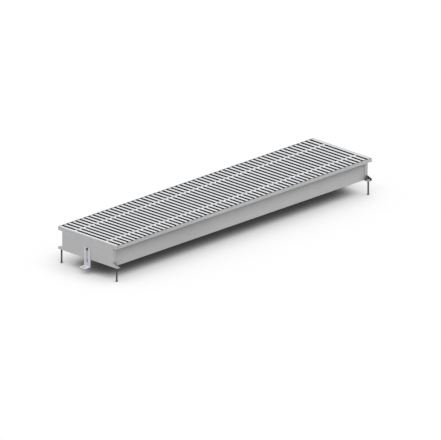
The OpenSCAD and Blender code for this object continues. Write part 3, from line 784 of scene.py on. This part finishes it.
low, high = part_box("clamp_screws")
screwLength = nutStart + clampNut["height"] + clampScrew["tail"] - low[0]
screws = [moved(domedScrew(clampScrew, screwLength), [low[0], 0, clampHeight], alongX),
          moved(domedScrew(clampScrew, screwLength), [high[0], 0, clampHeight], againstX)]
addPiece("socket_screws", joined(screws), "casing", blackScrew, ["clamp_screws"])
print("nuts and clamp screws made")

# sleeves: short tubes with rounded ends; the step from bar to bar comes from the grille's flat
# part, and the gap is what is left between a sleeve and a bar
barRow = {"width": 8.0 * mm, "count": 43, "gap": 0.05 * mm, "rollSections": 8}
low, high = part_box("grille_bars")
barStep = (high[0] - low[0] - barRow["width"]) / (barRow["count"] - 1)
sleeve = {
    "radius": 2.8 * mm, "bore": 1.6 * mm, "edge": 0.4 * mm, "edgeCurve": 0.3, "columns": 16,
    "length": barStep - barRow["width"] - 2 * barRow["gap"],
}


def sleeveTube(size):
    # once round the section: both ends flat, both outer edges rounded by two slants
    edge, length, outer = size["edge"], size["length"], size["radius"]
    curve = edge * size["edgeCurve"]
    radii = [outer - edge, outer - curve, outer]
    heights = [0, curve, edge]
    radii = [size["bore"], *radii, *radii[::-1], size["bore"]]
    heights = [0, *heights, *[length - height for height in heights[::-1]], length]
    return turned(radii, heights, size["columns"], loop=True)


def addSleeves(name, nodeName, body):
    # a sleeve after every bar, in two rows, over the length of the node
    low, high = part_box(nodeName)
    out = (high[1] - low[1]) / 2 - sleeve["radius"]
    count = int(round((high[0] - low[0] - sleeve["length"]) / barStep)) + 1
    centre = (low[2] + high[2]) / 2
    tubes = [moved(sleeveTube(sleeve), [low[0] + step * barStep, side * out, centre], alongX)
             for step in range(count) for side in (-1, 1)]
    addPiece(name, joined(tubes), body, sleevePlastic, [nodeName])


addSleeves("bar_sleeves", "grille_spacers", "grille")
for index in range(1, barRow["rollSections"] + 1):
    addSleeves(f"roll_sleeves_{index}", f"roll_spacers_{index}", f"roll_{index}")
print("sleeves made")

# seal strips: a soft profile with ribs under the bar ends
sealStrip = {"width": 11.0 * mm, "ribs": 5, "ribDepth": 0.5 * mm, "ribPoints": 8}


def sealShape(low, high, size):
    # top height = full height less a rib's depth times 1 - |sin| of the way across
    across = np.linspace(0.0, 1.0, size["ribs"] * size["ribPoints"] + 1)
    dip = size["ribDepth"] * (1 - np.abs(np.sin(across * math.pi * size["ribs"])))
    top = np.stack([low[1] + across * (high[1] - low[1]), high[2] - dip], -1)
    outline = np.vstack([[[low[1], low[2]], [high[1], low[2]]], top[::-1]])
    upright = np.stack([-outline[:, 1], outline[:, 0]], -1)
    return moved(prism(upright, [low[0], high[0]], [1.0, 1.0]), [0, 0, 0], alongX)


low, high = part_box("grille_seat_strips")
front, back = low[1] + sealStrip["width"], high[1] - sealStrip["width"]
strips = [sealShape(low, [high[0], front, high[2]], sealStrip),
          sealShape([low[0], back, low[2]], high, sealStrip)]
addPiece("seal_strips", joined(strips), "casing", seatRubber, ["grille_seat_strips"])
print("seal strips made")

# rivets: a domed head below, a shank, and a swollen tail with the hollow of its mandrel; gap
# is less than the distance between two of them
blindRivet = {
    "head": 3.25 * mm, "headHeight": 1.0 * mm, "domeShare": 0.75, "steps": 5, "columns": 24,
    "dimple": 0.9 * mm, "dimpleDepth": 0.35 * mm, "dimpleFloor": 0.63 * mm,
    "shank": 1.6 * mm, "tail": 2.3 * mm, "tailHeight": 1.2 * mm, "swell": 0.36 * mm,
    "tailEdge": 0.3 * mm, "tailTop": 1.84 * mm,
    "hollow": 0.8 * mm, "hollowDepth": 0.5 * mm, "hollowFloor": 0.64 * mm, "gap": 10.0 * mm,
}


def rivetShape(size, height):
    # from the dimple in the head, out over the dome and up the shank, to the hollow of the
    # tail; dome and swell are quarter ellipses
    turn = np.linspace(0.0, math.pi / 2, size["steps"])
    dome = size["dimple"] + (size["head"] - size["dimple"]) * np.sin(turn)
    domeRise = size["headHeight"] * size["domeShare"] * (1 - np.cos(turn))
    swell = size["shank"] + (size["tail"] - size["shank"]) * np.sin(turn)
    swellRise = height - size["tailHeight"] + size["swell"] * (1 - np.cos(turn))
    radii = [size["dimpleFloor"], *dome, size["head"], size["shank"], *swell,
             size["tail"], size["tailTop"], size["hollow"], size["hollowFloor"]]
    heights = [size["dimpleDepth"], *domeRise, size["headHeight"], size["headHeight"], *swellRise,
               height - size["tailEdge"], height, height, height - size["hollowDepth"]]
    return turned(radii, heights, size["columns"])


for name, nodeName in (("plate_rivets", "end_plate_rivets"), ("stand_rivets", "support_rivets")):
    low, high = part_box(nodeName)
    shape = rivetShape(blindRivet, high[2] - low[2])
    rivets = [moved(shape, [x, y, low[2]]) for x in groupMiddles(nodeName, 0, blindRivet["gap"])
              for y in groupMiddles(nodeName, 1, blindRivet["gap"])]
    addPiece(name, joined(rivets), "casing", darkScrew, [nodeName])
print("rivets made")

# unions: a collar at the mouth, a hexagon behind it, a pipe thread inside and a pipe socket;
# gap is less than the distance between the two pipes
pipeUnion = {
    "flats": 27.0 * mm, "face": 1.03, "faceDepth": 0.9 * mm, "edge": 0.6 * mm,
    "collar": 14.5 * mm, "collarLength": 6.0 * mm,
    "socket": 7.55 * mm, "socketDepth": 12.0 * mm, "bore": 6.5 * mm,
    "minor": 9.3 * mm, "threadDepth": 14.0 * mm, "pitch": 1.814 * mm, "depth": -1.1 * mm,
    "steps": 8, "columns": 48, "gap": 10.0 * mm,
}


def unionTube(size, length):
    # once round the section: over the mouth, back along the outside, and out through the bore
    columns, edge, collar, bore = size["columns"], size["edge"], size["collar"], size["bore"]
    collarEnd, threadEnd = size["collarLength"], size["threadDepth"]
    hexagon = hexRadius(columns, size["flats"], math.pi / 6)
    face = np.minimum(hexagon, size["flats"] / 2 * size["face"])
    mouth, socketFloor = size["minor"] - size["depth"], length - size["socketDepth"]
    rings = [
        (mouth, 0.0), (collar - edge, 0.0), (collar, edge),
        (collar, collarEnd - edge), (collar - edge, collarEnd), (face, collarEnd),
        (hexagon, collarEnd + size["faceDepth"]), (hexagon, length - size["faceDepth"]),
        (face, length), (size["socket"] + edge, length), (size["socket"], length - edge),
        (size["socket"], socketFloor), (bore, socketFloor), (bore, threadEnd)]
    rows = threadRows(edge, threadEnd - edge, size)[::-1]
    radii = np.vstack([
        *[np.broadcast_to(ring, columns) for ring, _ in rings],
        threadRadius(rows, columns, size["minor"], size)])
    heights = np.concatenate([[place for _, place in rings], rows])
    return turned(radii, heights, columns, loop=True)


low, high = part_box("pipe_unions")
pipeOut = [groupMiddles("exchanger_pipes", 1, pipeUnion["gap"])[end] for end in (0, -1)]
pipeHeight = middleOf("exchanger_pipes")[2]
shape = unionTube(pipeUnion, high[0] - low[0])
unions = [moved(shape, [low[0], out, pipeHeight], alongX) for out in pipeOut]
addPiece("threaded_unions", joined(unions), "casing", turnedBrass, ["pipe_unions"])
print("unions made")

# collars pulled out of the fins round the pipes; gap is less than the distance between fins
finCollar = {
    "bore": 7.52 * mm, "lip": 8.3 * mm, "body": 7.85 * mm, "flare": 0.72 * mm,
    "length": 2.4 * mm, "columns": 12, "gap": 1.0 * mm,
}


def collarTube(size):
    # once round the section: a lip at the fin, a cone down to the body, and the bore
    radii = [size["bore"], size["lip"], size["body"], size["body"], size["bore"]]
    heights = [0.0, 0.0, size["flare"], size["length"], size["length"]]
    return turned(radii, heights, size["columns"], loop=True)


finPlaces = groupMiddles("exchanger_fins", 0, finCollar["gap"])
finHalf = finPlaces[0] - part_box("exchanger_fins")[0][0]
collars = [moved(collarTube(finCollar), [place + finHalf, out, pipeHeight], alongX)
           for place in finPlaces for out in pipeOut]
addPiece("fin_collars", joined(collars), "casing", finAluminium, [])

# rings of solder at the bend; each lump is a wave's share, its count round the pipe and its turn
solderRing = {
    "bore": 7.51 * mm, "edge": 0.02 * mm, "crown": 0.552 * mm, "length": 2.6 * mm,
    "lumps": ((0.12, 3, 0.7), (0.08, 7, 0.0)), "steps": 7, "columns": 32,
}


def solderTube(size):
    # a crown of half a circle between two feathered edges, a little uneven round the pipe
    columns, angle = size["columns"], roundAngles(size["columns"])
    turn = np.linspace(0.0, math.pi, size["steps"])[:, None]
    uneven = 1.0 + sum(
        share * np.sin(angle * count + start) for share, count, start in size["lumps"])
    radii = size["bore"] + size["edge"] + size["crown"] * np.sin(turn) * uneven
    heights = size["length"] / 2 * (1 - np.cos(turn[:, 0]))
    inside = np.full((2, columns), size["bore"])
    return turned(np.vstack([radii, inside]), np.concatenate([heights, [size["length"], 0.0]]),
                  columns, loop=True)


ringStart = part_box("exchanger_pipes")[1][0] - solderRing["length"] / 2
rings = [moved(solderTube(solderRing), [ringStart, out, pipeHeight], alongX) for out in pipeOut]
addPiece("solder_rings", joined(rings), "casing", solderTin, [])
print("collars and solder made")


# The floor shows white, with the soft contact shadow of the photograph, to the camera and
# in reflections; to all other rays it is plain pale matt. From below it can be seen through.
# Its shadow gives the tone for a share of open sky, mixed from a near and a far reach.
studioFloor = {
    "size": 8.0, "matt": 0.8, "samples": 16,
    "nearReach": 0.1, "farReach": 1.0, "nearShare": 0.55, "lean": (0.0, -0.6, 1.0),
    "shadow": [
        (0.0, 0.001), (0.1, 0.007), (0.13, 0.014), (0.16, 0.024), (0.19, 0.033),
        (0.22, 0.042), (0.25, 0.056), (0.28, 0.085), (0.31, 0.128), (0.34, 0.184),
        (0.38, 0.271), (0.42, 0.356), (0.46, 0.429), (0.5, 0.5), (0.55, 0.582), (0.6, 0.664),
        (0.65, 0.728), (0.7, 0.782), (0.75, 0.831), (0.8, 0.874), (0.85, 0.918),
        (0.9, 0.957), (0.94, 0.986), (0.97, 0.998), (0.99, 1.0)],
}
white = (1.0, 1.0, 1.0)


def seenDirectly(tree):
    path = put(tree, "LightPath").outputs
    seen = maths(tree, "MAXIMUM", path["Is Camera Ray"], path["Is Glossy Ray"])
    return maths(tree, "MAXIMUM", seen, path["Is Transmission Ray"])


def openSky(tree, size, reach, lean):
    return put(tree, "AmbientOcclusion", {
        "Distance": reach, "Normal": lean}, samples=size["samples"]).outputs["AO"]


def makeFloor(size):
    half = size["size"] / 2
    mesh = bpy.data.meshes.new("studio_floor")
    mesh.from_pydata([(-half, -half, 0), (half, -half, 0), (half, half, 0), (-half, half, 0)],
                     [], [(0, 1, 2, 3)])
    floor = bpy.data.objects.new("studio_floor", mesh)
    bpy.context.scene.collection.objects.link(floor)
    material = bpy.data.materials.new("studioFloor")
    material.use_nodes = True
    tree = material.node_tree
    tree.nodes.clear()
    facing = put(tree, "NewGeometry").outputs
    lean = vectorMaths(tree, "NORMALIZE", {0: size["lean"]})[0]
    near = openSky(tree, size, size["nearReach"], lean)
    far = openSky(tree, size, size["farReach"], facing["Normal"])
    sky = maths(tree, "ADD", maths(tree, "MULTIPLY", near, size["nearShare"]),
                maths(tree, "MULTIPLY", far, 1.0 - size["nearShare"]))
    ramp = put(tree, "ValToRGB", {0: sky})
    stops = ramp.color_ramp.elements
    while len(stops) < len(size["shadow"]):
        stops.new(0.5)
    for stop, (place, tone) in zip(stops, size["shadow"]):
        stop.position, stop.color = place, colour([tone] * 3)
    shown = put(tree, "Emission", {"Color": ramp.outputs[0], "Strength": 1.0})
    matt = put(tree, "BsdfDiffuse", {"Color": colour([size["matt"]] * 3)})
    both = put(tree, "MixShader", {0: seenDirectly(tree), 1: matt.outputs[0], 2: shown.outputs[0]})
    clear = put(tree, "BsdfTransparent")
    side = put(tree, "MixShader", {
        0: facing["Backfacing"], 1: both.outputs[0], 2: clear.outputs[0]})
    put(tree, "OutputMaterial", {"Surface": side.outputs[0]})
    mesh.materials.append(material)


# a pale sky, lighter overhead, with one broad soft light from keySide; focus narrows it
studioSky = {
    "horizon": 0.1, "overhead": 0.75, "key": 1.0, "keySide": (-0.5, -0.5, 0.7071), "focus": 2.0,
}


def makeSky(size):
    world = bpy.data.worlds.new("studioSky")
    bpy.context.scene.world = world
    world.use_nodes = True
    tree = world.node_tree
    tree.nodes.clear()
    ray = put(tree, "TexCoord").outputs["Generated"]
    overhead = size["horizon"] + size["overhead"]
    strength = remap(tree, splitAxes(tree, ray)[2], 0.0, 1.0, size["horizon"], overhead)
    towards = vectorMaths(tree, "DOT_PRODUCT", {0: ray, 1: size["keySide"]})["Value"]
    soft = maths(tree, "POWER", maths(tree, "MAXIMUM", towards), size["focus"])
    strength = maths(tree, "ADD", strength, maths(tree, "MULTIPLY", soft, size["key"]))
    lit = put(tree, "Background", {"Color": colour(white), "Strength": strength})
    shown = put(tree, "Background", {"Color": colour(white), "Strength": 1.0})
    both = put(tree, "MixShader", {0: seenDirectly(tree), 1: lit.outputs[0], 2: shown.outputs[0]})
    put(tree, "OutputWorld", {"Surface": both.outputs[0]})


makeFloor(studioFloor)
makeSky(studioSky)
print("studio made")
